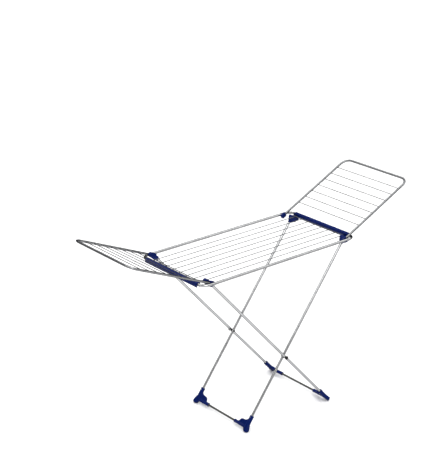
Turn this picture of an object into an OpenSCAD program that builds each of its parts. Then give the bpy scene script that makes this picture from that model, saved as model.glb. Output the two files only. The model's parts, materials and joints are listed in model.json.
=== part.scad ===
// Winged clothes drying rack: a tube deck with drying rods on crossed legs, with a
// folding wing at each end. Millimetres. X runs along the deck, Y across it, Z up.
// The origin is on the floor under the middle of the deck. "Front" is -Y, "left" is -X.

/* [Deck] */
// Height of the deck tubes' centre line above the floor
deck_h = 985; // [980:1:990]
// Length of the deck between the centre lines of its end tubes
deck_l = 1080; // [1070:1:1100]
// Width of the deck between the centre lines of its side tubes
deck_w = 541; // [541:1:543]
// Bend radius of the deck's corners, on the centre line
deck_bend = 42; // [41:1:43]
// Outer diameter of the deck tubes
deck_d = 15; // [14:0.5:15]
// Wall thickness of every tube
tube_wall = 0.8; // [0.6:0.1:1.2]
// Number of drying rods along the deck
deck_rod_count = 8; // [6:1:8]
// Distance between neighbouring deck rods
deck_rod_pitch = 56.5; // [50:0.5:56.5]
// Diameter of the drying rods
rod_d = 4; // [3:0.5:4.5]
// Distance of the cross wires from the middle of the deck
cross_wire_x = 510; // [510:1:511]
// Diameter of the cross wires
cross_wire_d = 5; // [4:0.5:5]
// Length of the plastic bar on each end tube
end_bar_l = 450; // [446:1:452]

/* [Wings] */
// Distance of the wing and leg hinges from the middle of the deck
hinge_x = 480; // [478:1:481]
// Angle of the open left wing above the deck
left_wing_tilt = 23.7; // [23:0.1:26]
// Angle of the open right wing above the deck
right_wing_tilt = 25.6; // [23:0.1:26]
// Length of a wing from its hinge to the centre line of its tip tube
wing_reach = 548; // [530:1:550]
// Width of a wing between the centre lines of its side tubes
wing_w = 509; // [508.5:0.5:509]
// Outer diameter of the wing tubes
wing_d = 13; // [12:0.5:13]
// Bend radius of the wing's corners, on the centre line
wing_bend = 50; // [40:1:60]
// Number of drying rods across a wing
wing_rod_count = 7; // [5:1:7]
// Distance between neighbouring wing rods
wing_rod_pitch = 57; // [50:0.5:58]
// Distance from the tip tube to the first wing rod
wing_rod_first = 82; // [60:1:90]

/* [Legs] */
// Distance of the leg scissor bolt from the middle of the deck
scissor_x = 57; // [56:0.5:58]
// Height of the leg scissor bolt above the floor
scissor_h = 379; // [378:0.5:380]
// Where the inner legs' centre line meets the deck's height
inner_top_x = 517; // [516:0.5:518]
// Distance between the centre lines of the outer legs
outer_leg_w = 476; // [476:1:476]
// Distance between the centre lines of the inner legs
inner_leg_w = 436; // [434:1:436]
// Outer diameter of the leg tubes
leg_d = 15; // [15:0.5:15]
// Outer diameter of the tubes that join the feet
foot_tube_d = 12; // [10:0.5:12]

/* [Feet] */
// Length of the socket that holds the leg
foot_leg_socket = 70; // [60:1:80]
// Length of the socket that holds the foot tube
foot_bar_socket = 100; // [90:1:110]
// Height of the foot tube's centre line above the floor
foot_h = 25; // [24:0.5:26]

/* [Hidden] */
$fn = 48;

// Signs of the two sides and the two ends
front = -1;
back = 1;
left = -1;
right = 1;

// Colours
steel = [0.80, 0.81, 0.83];
wire = [0.74, 0.75, 0.77];
dark_steel = [0.20, 0.20, 0.21];
navy = [0.05, 0.12, 0.36];
black = [0.08, 0.08, 0.09];

// Clearances
running = 0.05;          // radial play of a pin that turns
seated = 0.02;           // radial play of a part pushed on for good
swing_gap = 0.4;         // room round a tube that swings

// Deck
deck_y = deck_w / 2;
end_x = deck_l / 2;
rod_drop = 4;            // the rods' centre line lies this far below the tubes'
rod_socket = 3;          // how far a rod's end reaches into the end bar
cross_wire_past = 3.2;   // the wire runs this far past the outer rods' centre lines
cross_wire_rise = rod_d / 2 + cross_wire_d / 2 - rod_drop - 0.1;
end_bar_half = 12;       // half the width of the bar's section
end_bar_high = 9;
end_bar_low = 16;
end_bar_round = 3;
ferrule_l = 80;

// Hinges
pin_r = 3;
pin_head_r = 6;
pin_head_t = 3;
wing_y = wing_w / 2;
wing_cap_in = wing_y - 7;
wing_cap_out = wing_y + 7;
wing_cap_tail = 23;
wing_cap_nose = 10;
wing_cap_half = 12.5;
wing_tube_start = 5;     // the wing's tube starts this far from its hinge
wing_rest_at = 34;       // the rest stands under the wing this far from its hinge
wing_rest_r = 3;

// Legs
outer_y = outer_leg_w / 2;
inner_y = inner_leg_w / 2;
outer_run = scissor_x + hinge_x;
inner_run = inner_top_x - scissor_x;
leg_rise = deck_h - scissor_h;
outer_lean = -atan2(outer_run, leg_rise);
inner_lean = atan2(inner_run, leg_rise);
outer_up = norm([outer_run, leg_rise]);
outer_down = (scissor_h - foot_h) / cos(outer_lean);
inner_down = (scissor_h - foot_h) / cos(inner_lean);
tube_in_foot = 8;        // the leg tube stops this far above the foot tube's centre line
cap_top = [-8, 24];      // centre of the cap's upper end, from the hinge pin
cap_top_r = 13.5;
cap_foot = [-2, -17];    // centre of its lower end
cap_foot_r = 13.5;
cap_tube_gap = 8;
cap_in = outer_y - leg_d / 2 - 2.6;
cap_out = wing_cap_in - 0.5;
hook_in = inner_y - 17.6;
hook_out = inner_y + 9.6;
hook_top = 24;           // drop from the end tube's centre to the end of the inner leg
hook_sleeve_l = 19;
hook_sleeve_r = 9.4;
bolt_head_r = 7;
bolt_head_t = 2.5;

// Feet
foot_sleeve_r = 12;
foot_bar_r = 10;
web_half = 6.5;
toe_half = 9.5;
heel = [3, 5];
heel_r = 17;
toe = [-7, -14];
toe_r = 14;
rivet_r = 2;
rivet_head_r = 3.6;
rivet_up = 56;

// ---------- helpers ----------

// Two circles and the straight flanks that touch both of them
module link2d(a, ra, b, rb) {
    run = norm(b - a);
    way = atan2(b[1] - a[1], b[0] - a[0]);
    half = acos((ra - rb) / run);
    translate(a) circle(r = ra);
    translate(b) circle(r = rb);
    polygon([
        a + ra * [cos(way + half), sin(way + half)],
        a + ra * [cos(way - half), sin(way - half)],
        b + rb * [cos(way - half), sin(way - half)],
        b + rb * [cos(way + half), sin(way + half)]
    ]);
}

// A polygon grown by r all round, with its corners rounded
module rounded_polygon(points, r) {
    count = len(points);
    polygon(points);
    for (i = [0 : count - 1])
        link2d(points[i], r, points[(i + 1) % count], r);
}

// Stands a drawing of the X-Z plane up and gives it thickness from y = low to y = high
module upright(low, high) {
    translate([0, high, 0]) rotate([90, 0, 0]) linear_extrude(height = high - low) children();
}

// A cylinder along Y from y = low to y = high
module along_y(low, high, r) {
    translate([0, low, 0]) rotate([-90, 0, 0]) cylinder(h = high - low, r = r);
}

// A cylinder along X from x = low to x = high
module along_x(low, high, r) {
    translate([low, 0, 0]) rotate([0, 90, 0]) cylinder(h = high - low, r = r);
}

// Puts a part drawn for the back on the front, and one drawn for the right on the left
module on_side(side) {
    if (side < 0) mirror([0, 1, 0]) children();
    else children();
}

module on_end(end) {
    if (end < 0) mirror([1, 0, 0]) children();
    else children();
}

// Frame of a hinge: origin on the hinge axis, X away from the deck's middle
module at_hinge(end) {
    on_end(end) translate([hinge_x, 0, deck_h]) children();
}

// Frame of a wing: origin on its hinge axis, X along the wing
module in_wing(end) {
    tilt = end == left ? left_wing_tilt : right_wing_tilt;
    at_hinge(end) rotate([0, -tilt, 0]) children();
}

// Frame of a leg: origin on the scissor bolt's axis, Z up along the leg
module in_leg(lean) {
    translate([scissor_x, 0, scissor_h]) rotate([0, lean, 0]) children();
}

module below_floor() {
    translate([-1500, -1500, -100]) cube([3000, 3000, 100]);
}

// ---------- deck ----------

// Solid of diameter d along the centre line of the back half of the deck's tube
module deck_half_line(d, past) {
    straight = deck_l - 2 * deck_bend;
    translate([0, deck_y, 0]) along_x(-straight / 2, straight / 2, d / 2);
    for (end = [left, right]) on_end(end) {
        translate([end_x - deck_bend, deck_y - deck_bend, 0])
            rotate_extrude(angle = 90) translate([deck_bend, 0]) circle(d = d);
        translate([end_x, 0, 0]) along_y(-past, deck_y - deck_bend, d / 2);
    }
}

// Half of the deck's tube loop, from the middle of one end bar to the other
module deck_frame(side) {
    color(steel) translate([0, 0, deck_h]) on_side(side) difference() {
        deck_half_line(deck_d, 0);
        deck_half_line(deck_d - 2 * tube_wall, 1);
        for (end = [left, right])
            translate([end * hinge_x, 0, 0]) along_y(deck_y - deck_d, deck_y + deck_d, pin_r + seated);
    }
}

// Sleeves inside the end tubes that join the two halves of the loop
module frame_ferrules() {
    color(dark_steel) for (end = [left, right])
        translate([end * end_x, 0, deck_h]) difference() {
            along_y(-ferrule_l / 2, ferrule_l / 2, deck_d / 2 - tube_wall - seated);
            along_y(-ferrule_l / 2 - 1, ferrule_l / 2 + 1, deck_d / 2 - 2 * tube_wall);
        }
}

function deck_rod_y(number) = (number - (deck_rod_count + 1) / 2) * deck_rod_pitch;

// One of the drying rods along the deck, counted from the front
module deck_rod(number) {
    reach = end_x - end_bar_half + rod_socket;
    color(wire) translate([0, deck_rod_y(number), deck_h - rod_drop]) along_x(-reach, reach, rod_d / 2);
}

// The wire welded on top of all the rods near their ends
module cross_wire(end) {
    reach = (deck_rod_count - 1) / 2 * deck_rod_pitch + cross_wire_past;
    color(wire) translate([end * cross_wire_x, 0, deck_h + cross_wire_rise])
        along_y(-reach, reach, cross_wire_d / 2);
}

// Section of the end bar: a channel over the end tube, open below
module end_bar_section() {
    edge = end_bar_half - end_bar_round;
    bore = deck_d / 2 + seated;
    difference() {
        rounded_polygon([
            [-edge, end_bar_round - end_bar_low], [edge, end_bar_round - end_bar_low],
            [edge, end_bar_high - end_bar_round], [-edge, end_bar_high - end_bar_round]
        ], end_bar_round);
        circle(r = bore);
        translate([-bore, -2 * end_bar_low]) square([2 * bore, 2 * end_bar_low]);
    }
}

// Plastic bar pushed down over the end tube
module end_bar(end) {
    face = end_bar_half;
    color(navy) translate([end * end_x, 0, deck_h]) difference() {
        upright(-end_bar_l / 2, end_bar_l / 2) end_bar_section();
        for (number = [1 : deck_rod_count])
            on_end(-end) translate([0, deck_rod_y(number), -rod_drop])
                along_x(face - rod_socket, face + 1, rod_d / 2 + seated);
    }
}

// ---------- hinges ----------

// A pin through the side tube with its head outside, ending in a blind hole
module hinge_pin(inner_end) {
    along_y(inner_end, deck_y + deck_d / 2, pin_r);
    along_y(deck_y + deck_d / 2, deck_y + deck_d / 2 + pin_head_t, pin_head_r);
}

// Pins at the left end, shared by the left wing and the outer legs
module leg_hinge_pins() {
    color(steel) for (side = [front, back])
        at_hinge(left) on_side(side) hinge_pin(cap_in + 3.5);
}

// Pins at the right end, for the right wing only
module wing_hinge_pins() {
    color(steel) for (side = [front, back])
        at_hinge(right) on_side(side) hinge_pin(wing_cap_in + 2.5);
}

// Short studs welded inside the deck's bends, on which the open wings rest
module wing_rests() {
    drop = wing_d / 2 + wing_rest_r + 0.3;
    color(steel) for (end = [left, right], side = [front, back])
        in_wing(end) translate([wing_rest_at, 0, -drop]) on_side(side)
            along_y(wing_y - 4, wing_y + 8, wing_rest_r);
}

// ---------- wings ----------

// Solid of diameter d along the centre line of a wing's U-shaped tube
module wing_line(d, start) {
    for (side = [front, back]) on_side(side) {
        translate([0, wing_y, 0]) along_x(start, wing_reach - wing_bend, d / 2);
        translate([wing_reach - wing_bend, wing_y - wing_bend, 0])
            rotate_extrude(angle = 90) translate([wing_bend, 0]) circle(d = d);
    }
    translate([wing_reach, 0, 0]) along_y(-(wing_y - wing_bend), wing_y - wing_bend, d / 2);
}

module wing_frame(end) {
    color(steel) in_wing(end) difference() {
        wing_line(wing_d, wing_tube_start);
        wing_line(wing_d - 2 * tube_wall, wing_tube_start - 1);
    }
}

// Plastic cap on the end of a wing's tube, which turns on the hinge pin
module wing_cap(end, side) {
    round_r = 6;
    low = round_r - wing_cap_half;
    high = wing_cap_half - round_r;
    tail = round_r - wing_cap_tail;
    nose = wing_cap_nose - round_r;
    bore_from = end == left ? 0 : wing_cap_in + 2;
    color(navy) in_wing(end) on_side(side) difference() {
        upright(wing_cap_in, wing_cap_out)
            rounded_polygon([[tail, low], [nose, low], [nose, high], [tail, high]], round_r);
        translate([0, wing_y, 0]) along_x(wing_tube_start, 30, wing_d / 2 + seated);
        along_y(bore_from, 2 * wing_y, pin_r + running);
    }
}

// One of the rods across a wing, counted from the tip
module wing_rod(end, number) {
    x = wing_reach - wing_rod_first - (number - 1) * wing_rod_pitch;
    reach = wing_y - wing_d / 2 + 0.4;
    color(wire) in_wing(end) translate([x, 0, 0]) along_y(-reach, reach, rod_d / 2);
}

// ---------- legs ----------

// A leg tube at distance y from the middle, with cross holes for the bolt and foot rivet
module leg_tube(lean, y, low, high, bolt_hole) {
    color(steel) in_leg(lean) translate([0, y, 0]) difference() {
        translate([0, 0, low]) cylinder(h = high - low, d = leg_d);
        translate([0, 0, low - 1]) cylinder(h = high - low + 2, d = leg_d - 2 * tube_wall);
        along_y(-leg_d, leg_d, bolt_hole);
        translate([0, 0, low - tube_in_foot + rivet_up]) along_x(-leg_d, leg_d, rivet_r + seated);
    }
}

module outer_leg(side) {
    leg_tube(outer_lean, side * outer_y, -outer_down + tube_in_foot, outer_up - cap_tube_gap, pin_r + seated);
}

module inner_leg(side) {
    leg_tube(inner_lean, side * inner_y, -inner_down + tube_in_foot, inner_leg_end(), pin_r + running);
}

// Where the inner leg's tube ends in its hook, along the leg from the scissor bolt
function inner_leg_end() = (leg_rise - hook_top) / cos(inner_lean);

// Tube between two feet
module foot_tube(lean, y, down) {
    reach = y - 16;
    color(dark_steel) in_leg(lean) translate([0, 0, -down]) difference() {
        along_y(-reach, reach, foot_tube_d / 2);
        along_y(-reach - 1, reach + 1, foot_tube_d / 2 - tube_wall);
    }
}

// Moulded foot for the back: sockets for the leg and the foot tube, a web and a toe
module foot(lean, y, down, side) {
    color(navy) difference() {
        in_leg(lean) on_side(side) translate([0, y, -down]) foot_body();
        below_floor();
    }
}

module foot_body() {
    inward = foot_bar_socket;
    difference() {
        union() {
            translate([0, 0, -6]) cylinder(h = foot_leg_socket + 6, r = foot_sleeve_r);
            along_y(-inward, 0, foot_bar_r);
            foot_plate(web_half) foot_web2d();
            foot_plate(toe_half) link2d(heel, heel_r, toe, toe_r);
        }
        translate([0, 0, tube_in_foot]) cylinder(h = foot_leg_socket, r = leg_d / 2 + seated);
        along_y(-inward - 1, -16, foot_tube_d / 2 + seated);
        translate([0, 0, rivet_up]) along_x(-20, 20, rivet_r + seated);
    }
}

// Draws a plate of half thickness t in the leg frame's plane: first axis inward, second up
module foot_plate(t) {
    rotate([90, 0, -90]) translate([0, 0, -t]) linear_extrude(height = 2 * t) children();
}

// Web in the corner between the two sockets
module foot_web2d() {
    polygon([[3, 2], [3, 47], [9, 46], [22, 36], [50, 33], [57, 30], [62, 25], [66, 17], [71, 8], [76, 2]]);
}

module foot_rivets(lean, y, down) {
    reach = foot_sleeve_r;
    color(steel) in_leg(lean) for (side = [front, back])
        translate([0, side * y, -down + rivet_up]) {
            along_x(-reach, reach, rivet_r);
            for (end = [left, right]) on_end(end) along_x(reach, reach + 1.6, rivet_head_r);
        }
}

// Plastic end of an outer leg, which turns on the shared hinge pin
module leg_cap(side) {
    color(navy) in_leg(outer_lean) on_side(side) translate([0, 0, outer_up]) difference() {
        upright(cap_in, cap_out) link2d(cap_top, cap_top_r, cap_foot, cap_foot_r);
        translate([0, outer_y, -50]) cylinder(h = 50 - cap_tube_gap, r = leg_d / 2 + seated);
        along_y(cap_in + 3, 2 * outer_y, pin_r + running);
    }
}

// Bolts through the crossing legs
module scissor_bolts() {
    outside = outer_y + leg_d / 2;
    inside = inner_y - leg_d / 2;
    color(black) in_leg(0) for (side = [front, back]) on_side(side) {
        along_y(inside - 0.2, outside, pin_r);
        along_y(outside, outside + bolt_head_t, bolt_head_r);
        along_y(inside - 0.2 - bolt_head_t, inside - 0.2, bolt_head_r - 1);
    }
}

// Washers between the crossing legs
module scissor_spacers() {
    color(black) in_leg(0) for (side = [front, back]) on_side(side) difference() {
        along_y(inner_y + leg_d / 2 + 0.3, outer_y - leg_d / 2 - 0.1, 8);
        along_y(0, 2 * outer_y, pin_r + running);
    }
}

// Plastic hook on top of an inner leg. The end bar rests on its seat, and the wall behind
// the seat keeps the leg from sliding inwards
module leg_hook(side) {
    seat = -end_bar_low - swing_gap;
    wall = -end_bar_half - swing_gap;
    color(navy) on_side(side) difference() {
        union() {
            translate([end_x, 0, deck_h]) upright(hook_in, hook_out) polygon([
                [-49.5, 0], [-51, -31], [-46, -37],
                [-22, -40], [2, -34], [6, -29], [6, -21], [2, seat],
                [wall, seat], [wall, -5], [-34.5, -5], [-36, 3], [-38, 5], [-43, 5]
            ]);
            in_leg(inner_lean) translate([0, inner_y, inner_leg_end() - hook_sleeve_l])
                cylinder(h = hook_sleeve_l, r = hook_sleeve_r);
        }
        in_leg(inner_lean) translate([0, inner_y, inner_leg_end() - 60])
            cylinder(h = 60, r = leg_d / 2 + seated);
    }
}

// ---------- assembly ----------

deck_frame(front);  // deck_frame_front
deck_frame(back);  // deck_frame_back
frame_ferrules();
for (number = [1 : deck_rod_count])
    deck_rod(number);
cross_wire(left);  // cross_wire_left
cross_wire(right);  // cross_wire_right
end_bar(left);  // end_bar_left
end_bar(right);  // end_bar_right
leg_hinge_pins();
wing_hinge_pins();
wing_rests();
wing_frame(left);  // left_wing_frame
wing_cap(left, front);  // left_wing_cap_front
wing_cap(left, back);  // left_wing_cap_back
for (number = [1 : wing_rod_count])
    wing_rod(left, number);
wing_frame(right);  // right_wing_frame
wing_cap(right, front);  // right_wing_cap_front
wing_cap(right, back);  // right_wing_cap_back
for (number = [1 : wing_rod_count])
    wing_rod(right, number);
outer_leg(front);  // outer_leg_front
outer_leg(back);  // outer_leg_back
foot_tube(outer_lean, outer_y, outer_down);  // outer_foot_tube
foot(outer_lean, outer_y, outer_down, front);  // outer_foot_front
foot(outer_lean, outer_y, outer_down, back);  // outer_foot_back
foot_rivets(outer_lean, outer_y, outer_down);  // outer_foot_rivets
leg_cap(front);  // leg_cap_front
leg_cap(back);  // leg_cap_back
scissor_bolts();
scissor_spacers();
inner_leg(front);  // inner_leg_front
inner_leg(back);  // inner_leg_back
foot_tube(inner_lean, inner_y, inner_down);  // inner_foot_tube
foot(inner_lean, inner_y, inner_down, front);  // inner_foot_front
foot(inner_lean, inner_y, inner_down, back);  // inner_foot_back
foot_rivets(inner_lean, inner_y, inner_down);  // inner_foot_rivets
leg_hook(front);  // leg_hook_front
leg_hook(back);  // leg_hook_back
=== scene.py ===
"""Looks of a winged clothes drying rack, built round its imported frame.

The frame's tubes, rods and pins keep their shapes and get procedural finishes. Its
mouldings are shown by copies with rounded edges. New pieces add what the frame leaves
out: weld beads, ribs and collars on the mouldings, rivet domes and fluted knobs.
Lengths are metres. X runs along the deck, Y across it, Z up.
"""

from __future__ import annotations

import json
import logging
import math
from dataclasses import dataclass, field
from enum import Enum

import bmesh
import bpy
import numpy as np
from mathutils import Matrix, Vector

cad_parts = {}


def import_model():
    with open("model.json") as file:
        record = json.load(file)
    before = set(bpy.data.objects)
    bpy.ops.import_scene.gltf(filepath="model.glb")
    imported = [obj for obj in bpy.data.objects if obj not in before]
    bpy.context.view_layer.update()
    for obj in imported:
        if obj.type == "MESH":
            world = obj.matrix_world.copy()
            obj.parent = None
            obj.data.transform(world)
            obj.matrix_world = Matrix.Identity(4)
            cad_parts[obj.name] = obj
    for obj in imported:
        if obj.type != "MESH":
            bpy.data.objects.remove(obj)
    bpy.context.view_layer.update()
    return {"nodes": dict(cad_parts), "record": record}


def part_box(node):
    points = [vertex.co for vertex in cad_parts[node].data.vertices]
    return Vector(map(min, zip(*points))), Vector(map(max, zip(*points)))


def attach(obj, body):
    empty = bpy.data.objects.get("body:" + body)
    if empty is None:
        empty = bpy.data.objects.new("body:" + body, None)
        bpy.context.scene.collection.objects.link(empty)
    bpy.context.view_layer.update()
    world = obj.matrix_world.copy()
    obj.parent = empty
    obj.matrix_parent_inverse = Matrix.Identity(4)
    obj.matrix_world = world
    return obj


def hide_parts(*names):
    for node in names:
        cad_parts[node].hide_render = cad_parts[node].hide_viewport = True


LOG = logging.getLogger("drying_rack")
Array = np.ndarray
Surface = tuple[Array, Array]
Triple = tuple[float, float, float]
Socket = bpy.types.NodeSocket


class Side(Enum):
    """The two long sides of the rack."""

    FRONT = -1
    BACK = 1


class End(Enum):
    """The two ends of the rack."""

    LEFT = -1
    RIGHT = 1


# ---------------------------------------------------------------- shader effects


class NodeSheet:
    """Adds and wires shader nodes in one tree."""

    def __init__(self, tree: bpy.types.NodeTree) -> None:
        """Keeps the tree to work in.

        Args:
            tree: A material's or a group's node tree.
        """
        self.tree = tree

    def add(
        self, kind: str, values: dict[str | int, object] | None = None, **settings: object
    ) -> bpy.types.Node:
        """Adds a node and fills in its sockets.

        Args:
            kind: Blender's name of the node type.
            values: Socket name or number to a value, or to an output socket to link from.
            settings: The node's own properties.

        Returns:
            The new node.
        """
        node = self.tree.nodes.new(kind)
        for name, value in settings.items():
            setattr(node, name, value)
        for key, value in (values or {}).items():
            socket = node.inputs[key]
            if isinstance(value, bpy.types.NodeSocket):
                self.tree.links.new(value, socket)
            else:
                socket.default_value = value
        return node

    def math(self, operation: str, first: object, second: object = 0.0, clamp: bool = False) -> Socket:
        """Adds a Math node.

        Args:
            operation: Blender's name of the sum.
            first: Its first term, a number or a socket.
            second: Its second term.
            clamp: True where the result is held between 0 and 1.

        Returns:
            The node's output.
        """
        values = {0: first, 1: second}
        return self.add("ShaderNodeMath", values, operation=operation, use_clamp=clamp).outputs[0]

    def ramp(self, value: object, low: float, high: float, start: float = 0.0, stop: float = 1.0) -> Socket:
        """Adds a Map Range node with a smooth, clamped step.

        Args:
            value: The value to turn, a number or a socket.
            low: Value that gives start.
            high: Value that gives stop.
            start: Result at low.
            stop: Result at high.

        Returns:
            The node's output.
        """
        values = {"Value": value, "From Min": low, "From Max": high, "To Min": start, "To Max": stop}
        return self.add("ShaderNodeMapRange", values, interpolation_type="SMOOTHSTEP").outputs["Result"]

    def stretched(self, vector: object, scale: Triple, turn: float = 0.0) -> Socket:
        """Adds a Mapping node that turns a pattern about Y and scales it.

        Args:
            vector: The pattern's coordinates.
            scale: Scale along each axis.
            turn: Turn about Y, in radians.

        Returns:
            The new coordinates.
        """
        values = {"Vector": vector, "Rotation": (0.0, turn, 0.0), "Scale": scale}
        return self.add("ShaderNodeMapping", values).outputs["Vector"]

    def noise(self, vector: object, scale: object, detail: float = 3.0, roughness: float = 0.55) -> Socket:
        """Adds a Noise texture.

        Args:
            vector: Its coordinates.
            scale: Its scale, a number or a socket.
            detail: Number of finer layers.
            roughness: How strong the finer layers are.

        Returns:
            The noise's factor.
        """
        values = {"Vector": vector, "Scale": scale, "Detail": detail, "Roughness": roughness}
        return self.add("ShaderNodeTexNoise", values).outputs["Fac"]


class Effect(Enum):
    """Effects that several finishes share, each one node group."""

    EDGE_WEAR = "edge_wear"
    MOULD_GRAIN = "mould_grain"
    HANDLING_SCRATCHES = "handling_scratches"
    SETTLED_DUST = "settled_dust"
    DRAWN_LINES = "drawn_lines"


class EffectShelf:
    """Builds each shared effect once and hands out its node group."""

    def __init__(self) -> None:
        """Starts with no group built."""
        self.groups: dict[Effect, bpy.types.NodeTree] = {}

    def get(self, effect: Effect) -> bpy.types.NodeTree:
        """Returns the effect's node group, building it at its first use.

        Args:
            effect: Which effect.

        Returns:
            The shader node group.
        """
        if effect not in self.groups:
            self.groups[effect] = getattr(self, f"_build_{effect.value}")()
        return self.groups[effect]

    @staticmethod
    def _blank(
        effect: Effect, inputs: dict[str, float], outputs: tuple[str, ...]
    ) -> tuple[NodeSheet, bpy.types.Node, bpy.types.Node]:
        """Makes an empty group with a Vector input, named float inputs and float outputs.

        Args:
            effect: The effect it is for.
            inputs: Name and default value of each float input.
            outputs: Name of each float output.

        Returns:
            The group's sheet, its input node and its output node.
        """
        tree = bpy.data.node_groups.new(effect.value, "ShaderNodeTree")
        tree.interface.new_socket("Vector", in_out="INPUT", socket_type="NodeSocketVector")
        for name, value in inputs.items():
            socket = tree.interface.new_socket(name, in_out="INPUT", socket_type="NodeSocketFloat")
            socket.default_value = value
        for name in outputs:
            tree.interface.new_socket(name, in_out="OUTPUT", socket_type="NodeSocketFloat")
        sheet = NodeSheet(tree)
        return sheet, sheet.add("NodeGroupInput"), sheet.add("NodeGroupOutput")

    def _build_edge_wear(self) -> bpy.types.NodeTree:
        """Mask of worn edges: where a rounded normal leaves the true one, broken up by noise."""
        sheet, source, sink = self._blank(Effect.EDGE_WEAR, {"Radius": 0.001, "Amount": 0.5}, ("Mask",))
        round_normal = sheet.add("ShaderNodeBevel", {"Radius": source.outputs["Radius"]}, samples=4)
        true_normal = sheet.add("ShaderNodeNewGeometry").outputs["Normal"]
        normals = {0: round_normal.outputs[0], 1: true_normal}
        dot = sheet.add("ShaderNodeVectorMath", normals, operation="DOT_PRODUCT")
        edge = sheet.ramp(dot.outputs["Value"], 0.995, 0.90)
        patch = sheet.ramp(sheet.noise(source.outputs["Vector"], 90.0, 5.0, 0.65), 0.42, 0.62)
        broken = sheet.math("MULTIPLY", edge, patch)
        mask = sheet.math("MULTIPLY", broken, source.outputs["Amount"], clamp=True)
        sheet.tree.links.new(mask, sink.inputs["Mask"])
        return sheet.tree

    def _build_mould_grain(self) -> bpy.types.NodeTree:
        """Fine pits and slow waves of a moulded surface, as a height, and a slow change of tone."""
        sheet, source, sink = self._blank(Effect.MOULD_GRAIN, {"Scale": 1500.0}, ("Height", "Tone"))
        vector = source.outputs["Vector"]
        cells = {"Vector": vector, "Scale": source.outputs["Scale"]}
        pits = sheet.add("ShaderNodeTexVoronoi", cells).outputs["Distance"]
        waves = sheet.noise(vector, 60.0, 2.0)
        height = sheet.math("ADD", sheet.math("MULTIPLY", pits, 0.5), sheet.math("MULTIPLY", waves, 0.6))
        sheet.tree.links.new(height, sink.inputs["Height"])
        sheet.tree.links.new(sheet.noise(vector, 14.0, 4.0), sink.inputs["Tone"])
        return sheet.tree

    def _build_handling_scratches(self) -> bpy.types.NodeTree:
        """Mask of hairline scratches: two stretched noises cut off high, kept only in patches."""
        sheet, source, sink = self._blank(Effect.HANDLING_SCRATCHES, {"Amount": 0.5}, ("Mask",))
        vector = source.outputs["Vector"]
        one = sheet.noise(sheet.stretched(vector, (60.0, 900.0, 700.0), 0.5), 1.0, 2.0)
        two = sheet.noise(sheet.stretched(vector, (800.0, 70.0, 500.0), -0.9), 1.0, 2.0)
        lines = sheet.math("MAXIMUM", sheet.ramp(one, 0.66, 0.72), sheet.ramp(two, 0.67, 0.73))
        patch = sheet.ramp(sheet.noise(vector, 22.0, 2.0), 0.45, 0.65)
        kept = sheet.math("MULTIPLY", lines, patch)
        mask = sheet.math("MULTIPLY", kept, source.outputs["Amount"], clamp=True)
        sheet.tree.links.new(mask, sink.inputs["Mask"])
        return sheet.tree

    def _build_settled_dust(self) -> bpy.types.NodeTree:
        """Mask of dust: thicker on faces that look up, broken up by noise."""
        sheet, source, sink = self._blank(Effect.SETTLED_DUST, {"Amount": 0.2}, ("Mask",))
        normal = sheet.add("ShaderNodeNewGeometry").outputs["Normal"]
        up = sheet.add("ShaderNodeSeparateXYZ", {0: normal}).outputs["Z"]
        patch = sheet.ramp(sheet.noise(source.outputs["Vector"], 120.0, 6.0, 0.7), 0.35, 0.75)
        lying = sheet.math("MULTIPLY", sheet.ramp(up, 0.1, 1.0), patch)
        mask = sheet.math("MULTIPLY", lying, source.outputs["Amount"], clamp=True)
        sheet.tree.links.new(mask, sink.inputs["Mask"])
        return sheet.tree

    def _build_drawn_lines(self) -> bpy.types.NodeTree:
        """Lines a drawing die leaves along a tube, as a height and a tone: noise stretched along Z."""
        sheet, source, sink = self._blank(Effect.DRAWN_LINES, {"Fineness": 1400.0}, ("Height", "Tone"))
        fine = source.outputs["Fineness"]
        scale = sheet.add("ShaderNodeCombineXYZ", {"X": fine, "Y": fine, "Z": 6.0}).outputs[0]
        factors = {0: source.outputs["Vector"], 1: scale}
        along = sheet.add("ShaderNodeVectorMath", factors, operation="MULTIPLY").outputs[0]
        lines = sheet.noise(along, 1.0, 2.0)
        sheet.tree.links.new(lines, sink.inputs["Height"])
        sheet.tree.links.new(sheet.noise(source.outputs["Vector"], 9.0, 3.0), sink.inputs["Tone"])
        return sheet.tree


# ---------------------------------------------------------------- finishes

# Painted shade: a finish with rim above zero has its colour darkened where the surface is seen at a grazing
# angle, painting in the dark outlines the tubes show. These are the facing values where that painted shade
# starts and where it is full.
RIM_SHADE_FACING = (0.14, 0.62)
RIM_TINT = (0.35, 0.35, 0.37)
COAT_ROUGHNESS = 0.12


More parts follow.
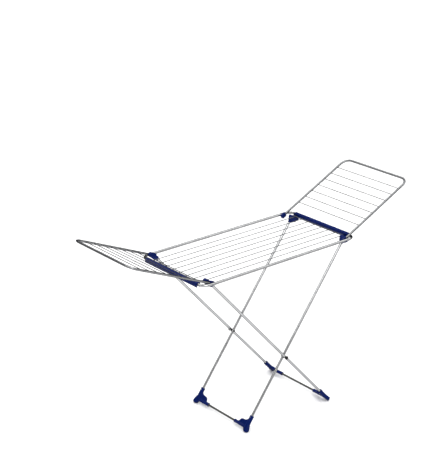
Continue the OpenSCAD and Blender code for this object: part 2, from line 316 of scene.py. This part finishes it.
@dataclass(frozen=True)
class Finish:
    """What every finish shares: two close colours, a roughness range, a little wear and, where rim is set, a
    painted shade at grazing edges.
    """

    name: str
    colour: Triple
    second_colour: Triple
    roughness: tuple[float, float] = (0.3, 0.45)
    metallic: float = 0.0
    coat: float = 0.0
    worn_colour: Triple = (0.6, 0.6, 0.62)
    wear: float = 0.3
    wear_radius: float = 0.0008
    scratches: float = 0.25
    dust: float = 0.08
    dust_colour: Triple = (0.62, 0.6, 0.57)
    bump: float = 0.1
    bump_depth: float = 0.0002
    specular: float = 0.5
    ior: float = 1.5
    # Strength and colour of the painted shade at grazing edges.
    rim: float = 0.0
    rim_shade_colour: Triple = (0.05, 0.05, 0.055)

    def surface(self, sheet: NodeSheet, shelf: EffectShelf, vector: Socket) -> tuple[Socket, Socket]:
        """Places the pattern of the bare surface.

        Args:
            sheet: The material's nodes.
            shelf: Where the shared effects are kept.
            vector: The pattern's coordinates.

        Returns:
            The pattern's height and tone.
        """
        grain = sheet.add("ShaderNodeGroup", {}, node_tree=shelf.get(Effect.MOULD_GRAIN))
        sheet.tree.links.new(vector, grain.inputs["Vector"])
        return grain.outputs["Height"], grain.outputs["Tone"]

    def build(self, shelf: EffectShelf) -> bpy.types.Material:
        """Builds the material.

        Args:
            shelf: Where the shared effects are kept.

        Returns:
            The finished material.
        """
        material = bpy.data.materials.new(self.name)
        material.use_nodes = True
        material.node_tree.nodes.clear()
        sheet = NodeSheet(material.node_tree)
        vector = sheet.add("ShaderNodeTexCoord").outputs["Object"]
        height, tone = self.surface(sheet, shelf, vector)
        edges = {"Radius": self.wear_radius, "Amount": self.wear}
        wear = self._effect(sheet, shelf, Effect.EDGE_WEAR, vector, **edges)
        marks = self._effect(sheet, shelf, Effect.HANDLING_SCRATCHES, vector, Amount=self.scratches)
        dust = self._effect(sheet, shelf, Effect.SETTLED_DUST, vector, Amount=self.dust)
        base = self._mix(sheet, sheet.ramp(tone, 0.3, 0.7), self.colour, self.second_colour)
        worn = self._mix(sheet, sheet.math("MAXIMUM", wear, marks), base, self.worn_colour)
        dust_and_rim_shade = self._mix(sheet, dust, worn, self.dust_colour)
        # Painted shade: the colour is darkened towards a dark grey where the surface turns away from the
        # view, so from here on the base colour holds dust and painted shade.
        if self.rim:
            facing = sheet.add("ShaderNodeLayerWeight", {"Blend": 0.5}).outputs["Facing"]
            turned = sheet.ramp(facing, *RIM_SHADE_FACING, 0.0, self.rim)
            dust_and_rim_shade = self._mix(sheet, turned, dust_and_rim_shade, self.rim_shade_colour)
        bare_rough = sheet.ramp(tone, 0.25, 0.75, *self.roughness)
        rougher = sheet.math("MULTIPLY", sheet.math("ADD", marks, dust), 0.5)
        rough = sheet.math("ADD", bare_rough, rougher, clamp=True)
        relief = sheet.math("SUBTRACT", height, sheet.math("MULTIPLY", marks, 0.8))
        rounded = sheet.add("ShaderNodeBevel", {"Radius": self.wear_radius}, samples=4).outputs[0]
        depth = {"Strength": self.bump, "Distance": self.bump_depth, "Height": relief, "Normal": rounded}
        normal = sheet.add("ShaderNodeBump", depth).outputs[0]
        look = {"Base Color": dust_and_rim_shade, "Roughness": rough, "Normal": normal}
        shader = sheet.add("ShaderNodeBsdfPrincipled", look)
        shader.inputs["Metallic"].default_value = self.metallic
        shader.inputs["Coat Weight"].default_value = self.coat
        shader.inputs["Coat Roughness"].default_value = COAT_ROUGHNESS
        shader.inputs["Specular IOR Level"].default_value = self.specular
        shader.inputs["IOR"].default_value = self.ior
        if self.rim:
            shader.inputs["Specular Tint"].default_value = (*RIM_TINT, 1.0)
        sheet.add("ShaderNodeOutputMaterial", {"Surface": shader.outputs[0]})
        material.diffuse_color = (*self.colour, 1.0)
        return material

    @staticmethod
    def _effect(
        sheet: NodeSheet, shelf: EffectShelf, effect: Effect, vector: Socket, **values: float
    ) -> Socket:
        """Places a shared effect with this finish's own values.

        Args:
            sheet: The material's nodes.
            shelf: Where the shared effects are kept.
            effect: Which effect.
            vector: Its coordinates.
            values: Its other inputs, by name.

        Returns:
            The effect's mask.
        """
        node = sheet.add("ShaderNodeGroup", {}, node_tree=shelf.get(effect))
        sheet.tree.links.new(vector, node.inputs["Vector"])
        for name, value in values.items():
            node.inputs[name].default_value = value
        return node.outputs["Mask"]

    @staticmethod
    def _mix(sheet: NodeSheet, factor: Socket, first: object, second: object) -> Socket:
        """Mixes two colours, each a socket or three numbers.

        Args:
            sheet: The material's nodes.
            factor: 0 for the first colour, 1 for the second.
            first: The first colour.
            second: The second colour.

        Returns:
            The mixed colour.
        """
        node = sheet.add("ShaderNodeMix", {}, data_type="RGBA")
        sockets = [s for s in node.inputs if s.type == "RGBA"]
        for socket, value in zip(sockets, (first, second)):
            if isinstance(value, bpy.types.NodeSocket):
                sheet.tree.links.new(value, socket)
            else:
                socket.default_value = (*value, 1.0)
        sheet.tree.links.new(factor, node.inputs["Factor"])
        return next(s for s in node.outputs if s.type == "RGBA")


@dataclass(frozen=True)
class DrawnSteel(Finish):
    """Bright drawn tube, with fine lines along its length."""

    lean: float = 0.0
    fineness: float = 1400.0

    def surface(self, sheet: NodeSheet, shelf: EffectShelf, vector: Socket) -> tuple[Socket, Socket]:
        """Places the drawn lines, turned to lie along the tube.

        Args:
            sheet: The material's nodes.
            shelf: Where the shared effects are kept.
            vector: The pattern's coordinates.

        Returns:
            The lines' height and tone.
        """
        lines = sheet.add("ShaderNodeGroup", {}, node_tree=shelf.get(Effect.DRAWN_LINES))
        sheet.tree.links.new(sheet.stretched(vector, (1.0, 1.0, 1.0), -self.lean), lines.inputs["Vector"])
        lines.inputs["Fineness"].default_value = self.fineness
        return lines.outputs["Height"], lines.outputs["Tone"]


# ---------------------------------------------------------------- surfaces


def grid_faces(rows: int, columns: int, closed: bool) -> Array:
    """Quads of a grid of points, row by row; a closed grid joins its last column to its first.

    Args:
        rows: Number of points along the path.
        columns: Number of points round the profile.
        closed: True where the profile is a loop.

    Returns:
        An array of four point numbers per face.
    """
    row = np.arange(rows - 1)[:, None] * columns
    column = np.arange(columns if closed else columns - 1)[None, :]
    after = (column + 1) % columns
    faces = np.stack([row + column, row + after, row + columns + after, row + columns + column], axis=-1)
    return faces.reshape(-1, 4)


def revolve(along: Array, radius: Array, centre: Array, axis: Array, count: int = 24) -> Surface:
    """A profile turned about an axis: point = centre + axis * along + radius * (u cos a + v sin a).

    Args:
        along: Distances along the axis, one per profile point.
        radius: Distances from the axis, one per profile point.
        centre: A point on the axis.
        axis: Unit vector of the axis.
        count: Points round the axis.

    Returns:
        The points and the faces.
    """
    axis = np.asarray(axis, float) / np.linalg.norm(axis)
    helper = np.array([0.0, 0.0, 1.0]) if abs(axis[2]) < 0.9 else np.array([1.0, 0.0, 0.0])
    u = np.cross(helper, axis)
    u /= np.linalg.norm(u)
    v = np.cross(axis, u)
    angle = np.linspace(0, 2 * math.pi, count, endpoint=False)
    ring = np.cos(angle)[:, None] * u + np.sin(angle)[:, None] * v
    points = np.asarray(centre, float) + along[:, None, None] * axis + radius[:, None, None] * ring[None]
    return points.reshape(-1, 3), grid_faces(len(along), count, True)


def dome(centre: Array, axis: Array, radius: float, height: float, count: int = 20) -> Surface:
    """A shallow dome, such as a rivet's head: an ellipse's quarter turned about its axis.

    Args:
        centre: Middle of its flat underside.
        axis: Unit vector from the underside to the top.
        radius: Its radius.
        height: Its height.
        count: Points round the axis.

    Returns:
        The points and the faces.
    """
    turn = np.linspace(0.0, math.pi / 2, 8)
    along = np.concatenate([[-0.0003], height * np.sin(turn)])
    reach = np.concatenate([[radius], radius * np.cos(turn) + 0.00001])
    return revolve(along, reach, centre, axis, count)


def collar(centre: Array, axis: Array, radius: float, half: float, height: float) -> Surface:
    """A raised band round a socket's mouth: a flat-topped bulge on a cylinder.

    Args:
        centre: The band's middle, on the cylinder's axis.
        axis: Unit vector of the axis.
        radius: The cylinder's radius.
        half: Half the band's width.
        height: How far it stands out.

    Returns:
        The points and the faces.
    """
    turn = np.linspace(0.0, math.pi, 11)
    along = -half * np.sign(np.cos(turn)) * np.abs(np.cos(turn)) ** 0.6
    reach = radius - 0.0003 + (height + 0.0003) * np.sin(turn) ** 0.5
    along = np.concatenate([along, along[:1]])
    reach = np.concatenate([reach, reach[:1]])
    return revolve(along, reach, centre, axis, 40)


def fluted_knob(centre: Array, axis: Array, radius: float, height: float, flutes: int = 10) -> Surface:
    """A low round knob with finger flutes: a revolved profile whose radius waves round the rim.

    Args:
        centre: Middle of its underside.
        axis: Unit vector from the underside to the top.
        radius: Its radius.
        height: Its height.
        flutes: Number of flutes.

    Returns:
        The points and the faces.
    """
    along = height * np.array([0.0, 0.0, 0.12, 0.62, 0.82, 0.95, 1.0, 1.0, 0.90, 0.86, 0.86])
    reach = radius * np.array([0.01, 0.94, 1.0, 1.0, 0.95, 0.84, 0.70, 0.52, 0.46, 0.40, 0.001])
    points, faces = revolve(along, reach, centre, axis, flutes * 8)
    middle = np.asarray(centre, float) + along[:, None] * np.asarray(axis, float)
    grid = points.reshape(len(along), -1, 3)
    angle = np.linspace(0, 2 * math.pi, grid.shape[1], endpoint=False)
    depth = np.clip((reach / radius - 0.7) / 0.3, 0.0, 1.0)
    wave = 1.0 - 0.07 * depth[:, None] * (0.5 + 0.5 * np.cos(flutes * angle))[None, :] ** 2
    grid = middle[:, None, :] + (grid - middle[:, None, :]) * wave[..., None]
    return grid.reshape(-1, 3), faces


def welt(start: Array, stop: Array, outward: Array, half: float = 0.001, height: float = 0.0012) -> Surface:
    """A raised rib along a flat face: a half ellipse swept from start to stop, with rounded ends.

    Args:
        start: One end, on the face.
        stop: The other end, on the face.
        outward: Unit vector away from the face.
        half: Half the rib's width.
        height: How far it stands out.

    Returns:
        The points and the faces.
    """
    run = np.asarray(stop, float) - np.asarray(start, float)
    across = np.cross(outward, run / np.linalg.norm(run))
    s = (1 - np.cos(np.linspace(0.0, math.pi, 25))) / 2
    taper = np.sqrt(np.clip(1 - np.abs(2 * s - 1) ** 14, 0.0, 1.0))
    turn = np.linspace(0.0, math.pi, 9)
    flat = half * np.cos(turn)[None, :] * (0.1 + 0.9 * taper)[:, None]
    tall = (height + 0.0003) * np.sin(turn)[None, :] * taper[:, None] - 0.0003
    path = np.asarray(start, float) + s[:, None] * run
    points = path[:, None, :] + flat[..., None] * across + tall[..., None] * np.asarray(outward, float)
    return points.reshape(-1, 3), grid_faces(len(s), len(turn), False)


@dataclass
class Shell:
    """Points and faces gathered from several surfaces, made into one mesh."""

    points: list[Array] = field(default_factory=list)
    faces: list[Array] = field(default_factory=list)
    size: int = 0

    def add(self, surface: Surface) -> None:
        """Adds one surface's points and faces."""
        points, faces = surface
        self.points.append(points)
        self.faces.append(faces + self.size)
        self.size += len(points)

    def piece(self, name: str, material: bpy.types.Material) -> bpy.types.Object:
        """Makes the gathered surfaces one smooth object at the origin.

        Args:
            name: The object's name.
            material: Its finish.

        Returns:
            The new object, linked to the scene.
        """
        points = np.concatenate(self.points).astype(np.float32)
        faces = np.concatenate(self.faces).astype(np.int32)
        mesh = bpy.data.meshes.new(name)
        mesh.vertices.add(len(points))
        mesh.vertices.foreach_set("co", points.ravel())
        mesh.loops.add(faces.size)
        mesh.loops.foreach_set("vertex_index", faces.ravel())
        mesh.polygons.add(len(faces))
        mesh.polygons.foreach_set("loop_start", np.arange(0, faces.size, 4, dtype=np.int32))
        mesh.polygons.foreach_set("use_smooth", np.ones(len(faces), bool))
        mesh.update(calc_edges=True)
        mesh.validate()
        mesh.materials.append(material)
        made = bpy.data.objects.new(name, mesh)
        bpy.context.scene.collection.objects.link(made)
        return made


# ---------------------------------------------------------------- sub-assemblies


@dataclass
class Paintwork:
    """Every finish of the rack, built once."""

    shelf: EffectShelf = field(default_factory=EffectShelf)
    built: dict[str, bpy.types.Material] = field(default_factory=dict)

    # The rim value of each finish sets its painted shade at grazing edges.
    TUBE = Finish(
        "tube_enamel", (0.50, 0.505, 0.51), (0.41, 0.415, 0.42), (0.10, 0.18), 0.95, 0.1,
        bump=0.06, wear=0.1, scratches=0.12, dust=0.03, rim=0.95,
    )
    # Painted shade: the wing tubes are the same tube as the deck's, given a darker colour for how they are
    # lit.
    WING_TUBE_PAINTED_SHADE = Finish(
        "wing_tube_painted_shade", (0.30, 0.305, 0.31), (0.23, 0.235, 0.24), (0.10, 0.18), 0.95, 0.1,
        bump=0.06, wear=0.1, scratches=0.12, dust=0.03, rim=0.95,
    )
    # Painted shade: the wing rods and their welds are the same rods as the deck's, given a darker colour for
    # how they are lit.
    WING_ROD_PAINTED_SHADE = Finish(
        "wing_rod_painted_shade", (0.060, 0.062, 0.065), (0.045, 0.047, 0.05), (0.20, 0.32), 0.9, 0.1,
        bump=0.06, wear=0.0, scratches=0.12, wear_radius=0.0003, dust=0.02, rim=0.8,
    )
    ROD = Finish(
        "rod_enamel", (0.13, 0.135, 0.14), (0.10, 0.105, 0.11), (0.20, 0.32), 0.9, 0.1,
        bump=0.06, wear=0.0, scratches=0.12, wear_radius=0.0003, dust=0.02, rim=0.8,
    )
    OUTER = DrawnSteel(
        "outer_leg_steel", (0.62, 0.625, 0.63), (0.54, 0.545, 0.55), (0.09, 0.17), 1.0,
        bump=0.10, wear=0.0, scratches=0.15, dust=0.03, rim=0.85, lean=math.radians(-41.55),
    )
    # Painted shade: the inner legs are the same drawn steel as the outer legs, given a slightly darker
    # colour for how they are lit; their own lean sets the drawn lines.
    INNER_SHADED = DrawnSteel(
        "inner_leg_steel", (0.56, 0.565, 0.57), (0.48, 0.485, 0.49), (0.09, 0.17), 1.0,
        bump=0.10, wear=0.0, scratches=0.15, dust=0.03, rim=0.85, lean=math.radians(37.2),
    )
    NAVY = Finish(
        "navy_moulding", (0.0006, 0.0072, 0.080), (0.0010, 0.0095, 0.094), (0.36, 0.48),
        worn_colour=(0.008, 0.028, 0.13), wear=0.35, scratches=0.10, dust=0.004, bump=0.14,
        specular=0.25, ior=1.22,
    )
    BLACK = Finish(
        "black_moulding", (0.006, 0.006, 0.007), (0.010, 0.010, 0.011), (0.38, 0.52),
        worn_colour=(0.05, 0.05, 0.055), wear=0.3, dust=0.01, bump=0.18, specular=0.15,
    )
    DARK = Finish(
        "dark_powder_coat", (0.030, 0.028, 0.026), (0.022, 0.020, 0.019), (0.26, 0.38), coat=0.1,
        worn_colour=(0.2, 0.19, 0.18), dust=0.02, bump=0.12, wear=0.15, specular=0.4,
    )
    ZINC = Finish(
        "zinc_plate", (0.40, 0.40, 0.42), (0.32, 0.33, 0.36), (0.22, 0.38), 1.0,
        bump=0.1, wear=0.2, rim=0.7,
    )

    def get(self, finish: Finish) -> bpy.types.Material:
        """Returns a finish's material, building it at its first use."""
        if finish.name not in self.built:
            self.built[finish.name] = finish.build(self.shelf)
        return self.built[finish.name]


@dataclass
class SubAssembly:
    """A group of frame nodes and new pieces that ride on one body."""

    body: str
    paint: Paintwork
    nodes: dict[str, bpy.types.Object]

    def dress(self, finish: Finish, *names: str) -> None:
        """Gives the named frame nodes a finish.

        Args:
            finish: The finish.
            names: Names of frame nodes, or the start of several.
        """
        material = self.paint.get(finish)
        for name, node in self.nodes.items():
            if name.startswith(names):
                if not node.data.materials:
                    node.data.materials.append(material)
                for slot in node.material_slots:
                    slot.material = material

    def soften(self, finish: Finish, slot: str, width: float, *names: str) -> None:
        """Shows copies with rounded edges in place of the named mouldings.

        Args:
            finish: Their finish.
            slot: The record's material slot they belong to; not used.
            width: Width of the rounding.
            names: Names of frame nodes.
        """
        for name in names:
            mesh = self.nodes[name].data.copy()
            shape = bmesh.new()
            shape.from_mesh(mesh)
            bmesh.ops.remove_doubles(shape, verts=shape.verts, dist=1e-6)
            flat = math.radians(0.5)
            bmesh.ops.dissolve_limit(shape, angle_limit=flat, verts=shape.verts, edges=shape.edges)
            shape.to_mesh(mesh)
            shape.free()
            mesh.materials.clear()
            mesh.materials.append(self.paint.get(finish))
            mesh.polygons.foreach_set("use_smooth", np.ones(len(mesh.polygons), bool))
            piece = bpy.data.objects.new(f"moulded_{name}", mesh)
            bpy.context.scene.collection.objects.link(piece)
            bevel = piece.modifiers.new("rounded_edges", "BEVEL")
            bevel.width = width
            bevel.segments = 3
            bevel.limit_method = "ANGLE"
            bevel.angle_limit = math.radians(32)
            bevel.harden_normals = True
            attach(piece, self.body)
            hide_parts(name)

    def keep(self, shell: Shell, name: str, finish: Finish, slot: str) -> bpy.types.Object:
        """Makes a piece of a shell, and fixes it to this body.

        Args:
            shell: Its surfaces.
            name: The piece's name.
            finish: Its finish.
            slot: The record's material slot it belongs to; not used.

        Returns:
            The piece.
        """
        piece = shell.piece(name, self.paint.get(finish))
        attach(piece, self.body)
        LOG.info("%s: %d points", name, shell.size)
        return piece


def weld_bead(toe: Array, axis: Array, rod: float, spread: float = 0.0016, count: int = 20) -> Surface:
    """A weld's fillet round a rod: its radius falls from rod + spread to rod as (1 - t) squared.

    Args:
        toe: Point on the rod's axis where it meets the tube.
        axis: Unit vector from the tube along the rod.
        rod: The rod's radius.
        spread: How far the bead stands out at its toe.
        count: Points round the rod.

    Returns:
        The points and the faces.
    """
    t = np.linspace(0.0, 1.0, 8)
    along = -0.0006 + (0.0006 + 1.3 * spread) * t
    radius = rod - 0.0001 + spread * (1 - t) ** 2
    along = np.concatenate([along[:1], along, along[-1:]])
    radius = np.concatenate([[0.0002], radius, [0.0002]])
    return revolve(along, radius, toe, axis, count)


@dataclass
class Deck(SubAssembly):
    """The deck: tube loop, drying rods, cross wires, end bars, pins and rests."""

    pin_dome: float = 0.0014
    nugget_radius: float = 0.0026
    nugget_height: float = 0.0011

    def build(self) -> None:
        """Dresses the deck's nodes and welds its rods."""
        self.dress(Paintwork.TUBE, "deck_frame")
        self.dress(Paintwork.ROD, "deck_rod", "cross_wire")
        self.dress(Paintwork.NAVY, "end_bar")
        self.soften(Paintwork.NAVY, "blue_plastic", 0.0012, "end_bar_left", "end_bar_right")
        self.dress(Paintwork.ZINC, "frame_ferrules", "leg_hinge", "wing_hinge", "wing_rests")
        shell = Shell()
        rods = [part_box(f"deck_rod_{i}") for i in range(1, 9)]
        for name in ("cross_wire_left", "cross_wire_right"):
            low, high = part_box(name)
            x = (low.x + high.x) / 2
            for rod_low, rod_high in rods:
                y = (rod_low.y + rod_high.y) / 2
                shell.add(self._saddle(np.array([x, y, low.z])))
        self.keep(shell, "deck_welds", Paintwork.ROD, "rod_steel")
        heads = Shell()
        for name in ("leg_hinge_pins", "wing_hinge_pins"):
            low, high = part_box(name)
            x, z = (low.x + high.x) / 2, (low.z + high.z) / 2
            for sign, edge in ((-1.0, low.y), (1.0, high.y)):
                head = (high.z - low.z) / 2 - 0.0003
                heads.add(dome(np.array([x, edge, z]), np.array([0.0, sign, 0.0]), head, self.pin_dome, 28))
        self.keep(heads, "hinge_pin_domes", Paintwork.ZINC, "zinc")

    def _saddle(self, centre: Array) -> Surface:
        """The flattened nugget of a resistance weld where a rod crosses a wire: a squashed ball.

        Args:
            centre: The point where rod and wire touch.

        Returns:
            The points and the faces.
        """
        latitude = np.linspace(-math.pi / 2, math.pi / 2, 9)
        along = self.nugget_height * np.sin(latitude)
        radius = 0.00001 + self.nugget_radius * np.cos(latitude)
        return revolve(along, radius, centre, np.array([0.0, 0.0, 1.0]), 16)


@dataclass
class Wing(SubAssembly):
    """One wing: a bent tube with rods welded across it, turning on two caps."""

    end: End = End.LEFT
    rod: float = 0.002

    def build(self) -> None:
        """Dresses the wing's nodes and welds its rods."""
        side = self.end.name.lower()
        # The wing tube and rods take the darker painted-shade copies of the deck's tube and rod colours.
        self.dress(Paintwork.WING_TUBE_PAINTED_SHADE, f"{side}_wing_frame")
        self.dress(Paintwork.WING_ROD_PAINTED_SHADE, f"{side}_wing_rod")
        self.dress(Paintwork.NAVY, f"{side}_wing_cap")
        caps = (f"{side}_wing_cap_front", f"{side}_wing_cap_back")
        self.soften(Paintwork.NAVY, "blue_plastic", 0.0011, *caps)
        shell = Shell()
        for number in range(1, 8):
            low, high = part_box(f"{side}_wing_rod_{number}")
            x, z = (low.x + high.x) / 2, (low.z + high.z) / 2
            for sign, edge in ((1.0, low.y), (-1.0, high.y)):
                toe = np.array([x, edge + sign * 0.0006, z])
                shell.add(weld_bead(toe, np.array([0.0, sign, 0.0]), self.rod))
        self.keep(shell, f"{side}_wing_welds", Paintwork.WING_ROD_PAINTED_SHADE, "rod_steel")


@dataclass
class Legs(SubAssembly):
    """A pair of legs with its foot tube, feet and upper mouldings."""

    prefix: str = "outer"
    steel: Finish = Paintwork.OUTER
    tops: str = "leg_cap"
    pivot: Triple = (0.0, 0.0, 0.0)
    foot_height: float = 0.025
    rivet_up: float = 0.056
    socket: tuple[float, float] = (0.070, 0.100)
    socket_radius: tuple[float, float] = (0.012, 0.010)
    collar_half: float = 0.0022
    collar_height: float = 0.0008
    plate_half: float = 0.0065
    rivet_out: float = 0.0136
    rivet_radius: float = 0.0034
    rivet_height: float = 0.0008
    knob_radius: float = 0.0105
    knob_height: float = 0.0062
    knob_in: float = 0.0024
    ribs: tuple[tuple[tuple[float, float], tuple[float, float]], ...] = (
        ((0.007, 0.041), (0.021, 0.032)),
        ((0.021, 0.032), (0.049, 0.029)),
        ((0.049, 0.029), (0.059, 0.020)),
        ((0.059, 0.020), (0.068, 0.007)),
        ((0.016, 0.014), (0.034, 0.028)),
        ((0.034, 0.013), (0.052, 0.025)),
    )

    def build(self) -> None:
        """Dresses the legs' nodes and finishes their mouldings."""
        self.dress(self.steel, f"{self.prefix}_leg")
        self.dress(Paintwork.DARK, f"{self.prefix}_foot_tube")
        self.dress(Paintwork.NAVY, f"{self.prefix}_foot_front", f"{self.prefix}_foot_back", self.tops)
        self.dress(Paintwork.ZINC, f"{self.prefix}_foot_rivets")
        self.dress(Paintwork.BLACK, "scissor")
        feet = (f"{self.prefix}_foot_front", f"{self.prefix}_foot_back")
        self.soften(Paintwork.NAVY, "blue_plastic", 0.0011, *feet, f"{self.tops}_front", f"{self.tops}_back")
        self._trim_feet()
        if self.prefix == "outer":
            self._knobs()

    def _axes(self) -> tuple[Array, Array, Array]:
        """Finds the legs' own directions.

        Returns:
            The scissor bolt's middle, the unit vector up the legs and the one across them.
        """
        lean = self.steel.lean
        up = np.array([math.sin(lean), 0.0, math.cos(lean)])
        across = np.array([math.cos(lean), 0.0, -math.sin(lean)])
        return np.array(self.pivot, float), up, across

    def _trim_feet(self) -> None:
        """Adds ribs, collars and rivet domes to both feet."""
        pivot, up, across = self._axes()
        trims, domes = Shell(), Shell()
        for side in Side:
            low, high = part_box(f"{self.prefix}_leg_{side.name.lower()}")
            foot = pivot - up * (pivot[2] - self.foot_height) / up[2]
            foot[1] = (low.y + high.y) / 2
            inward = np.array([0.0, -float(side.value), 0.0])
            for way, reach, radius in zip((up, inward), self.socket, self.socket_radius):
                mouth = foot + way * (reach - self.collar_half)
                trims.add(collar(mouth, way, radius, self.collar_half, self.collar_height))
            for face in (-1.0, 1.0):
                outward = across * face
                plate = foot + outward * self.plate_half
                for start, stop in self.ribs:
                    ends = [plate + inward * point[0] + up * point[1] for point in (start, stop)]
                    trims.add(welt(*ends, outward))
                head = foot + up * self.rivet_up + outward * self.rivet_out
                domes.add(dome(head, outward, self.rivet_radius, self.rivet_height))
        self.keep(trims, f"{self.prefix}_foot_ribs", Paintwork.NAVY, "blue_plastic")
        self.keep(domes, f"{self.prefix}_rivet_domes", Paintwork.ZINC, "zinc")

    def _knobs(self) -> None:
        """Adds a fluted knob on the outer end of each scissor bolt."""
        pivot, _, _ = self._axes()
        low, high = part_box("scissor_bolts")
        shell = Shell()
        for sign, edge in ((-1.0, low.y), (1.0, high.y)):
            base = np.array([pivot[0], edge - sign * self.knob_in, pivot[2]])
            shell.add(fluted_knob(base, np.array([0.0, sign, 0.0]), self.knob_radius, self.knob_height))
        self.keep(shell, "scissor_knobs", Paintwork.BLACK, "black_plastic")


# ---------------------------------------------------------------- studio


@dataclass
class Studio:
    """A pale floor, soft lights and the camera."""

    camera_at: Triple = (-4.51251, -5.3229, 3.78586)
    camera_right: Triple = (0.777457, -0.628838, -0.011109)
    camera_up: Triple = (0.237761, 0.27751, 0.930837)
    lens: float = 114.04
    skirt: tuple[float, float] = (0.50, 0.62)
    skirt_light: float = 0.06
    dome_light: float = 1.8

    def build(self) -> None:
        """Sets up the whole studio."""
        bpy.context.scene.view_settings.view_transform = "Standard"
        self._floor()
        self._world()
        self._lamp("key_light", (-2.5, -4.0, 5.0), 3.0, 110.0)
        self._lamp("fill_light", (4.5, -2.5, 3.5), 4.0, 50.0)
        self._lamp("back_light", (0.5, 5.0, 4.5), 4.0, 50.0)
        self._camera()

    def _floor(self) -> None:
        """Lays a plain pale floor."""
        half = 40.0
        corners = [(-half, -half, 0.0), (half, -half, 0.0), (half, half, 0.0), (-half, half, 0.0)]
        mesh = bpy.data.meshes.new("studio_floor")
        mesh.from_pydata(corners, [], [(0, 1, 2, 3)])
        floor = bpy.data.objects.new("studio_floor", mesh)
        bpy.context.scene.collection.objects.link(floor)
        material = bpy.data.materials.new("studio_floor")
        material.use_nodes = True
        shader = material.node_tree.nodes["Principled BSDF"]
        shader.inputs["Base Color"].default_value = (0.93, 0.93, 0.93, 1.0)
        shader.inputs["Roughness"].default_value = 0.9
        shader.inputs["Specular IOR Level"].default_value = 0.1
        mesh.materials.append(material)

    def _world(self) -> None:
        """Surrounds the scene with a white dome over a dark skirt, which puts lines along the metal."""
        world = bpy.data.worlds.new("studio_world")
        world.use_nodes = True
        background = world.node_tree.nodes["Background"]
        sheet = NodeSheet(world.node_tree)
        incoming = sheet.add("ShaderNodeNewGeometry").outputs["Incoming"]
        height = sheet.add("ShaderNodeSeparateXYZ", {0: incoming}).outputs["Z"]
        low, high = self.skirt
        glow = sheet.ramp(sheet.math("ABSOLUTE", height), low, high, self.skirt_light, self.dome_light)
        sheet.tree.links.new(glow, background.inputs["Strength"])
        background.inputs["Color"].default_value = (1.0, 1.0, 1.0, 1.0)
        bpy.context.scene.world = world

    def _lamp(self, name: str, place: Triple, size: float, power: float) -> None:
        """Adds a square soft light aimed at the rack's middle.

        Args:
            name: The light's name.
            place: Where it stands.
            size: Length of its side.
            power: Its power in watts.
        """
        data = bpy.data.lights.new(name, "AREA")
        data.size = size
        data.energy = power
        lamp = bpy.data.objects.new(name, data)
        lamp.location = place
        aim = Vector((0.0, 0.0, 0.6)) - Vector(place)
        lamp.rotation_euler = aim.to_track_quat("-Z", "Y").to_euler()
        bpy.context.scene.collection.objects.link(lamp)

    def _camera(self) -> None:
        """Places the camera."""
        data = bpy.data.cameras.new("camera")
        data.lens = self.lens
        data.sensor_width = 36.0
        data.sensor_fit = "HORIZONTAL"
        data.clip_end = 200.0
        camera = bpy.data.objects.new("camera", data)
        right, up = Vector(self.camera_right), Vector(self.camera_up)
        turn = Matrix((right, up, right.cross(up))).transposed()
        camera.matrix_world = Matrix.Translation(self.camera_at) @ turn.to_4x4()
        bpy.context.scene.collection.objects.link(camera)
        bpy.context.scene.camera = camera


def corners(box: object) -> list[list[float]]:
    """Returns a box's two corners as plain lists."""
    return [[float(v) for v in corner] for corner in box]


def main() -> None:
    """Builds the studio and the rack's looks."""
    logging.basicConfig(level=logging.INFO, format="%(name)s %(message)s")
    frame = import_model()
    paint = Paintwork()
    nodes = frame["nodes"]
    Studio().build()
    joints = frame["record"]["behaviour"]["joints"]
    pivot = tuple(next(j["pos_m"] for j in joints if j["name"] == "scissor_fold"))
    parts: list[SubAssembly] = [
        Deck("deck", paint, nodes),
        Wing("left_wing", paint, nodes, end=End.LEFT),
        Wing("right_wing", paint, nodes, end=End.RIGHT),
        Legs("outer_legs", paint, nodes, "outer", Paintwork.OUTER, "leg_cap", pivot),
        Legs("inner_legs", paint, nodes, "inner", Paintwork.INNER_SHADED, "leg_hook", pivot),
    ]
    for part in parts:
        part.build()
        LOG.info("%s done", part.body)


if __name__ == "__main__":
    main()
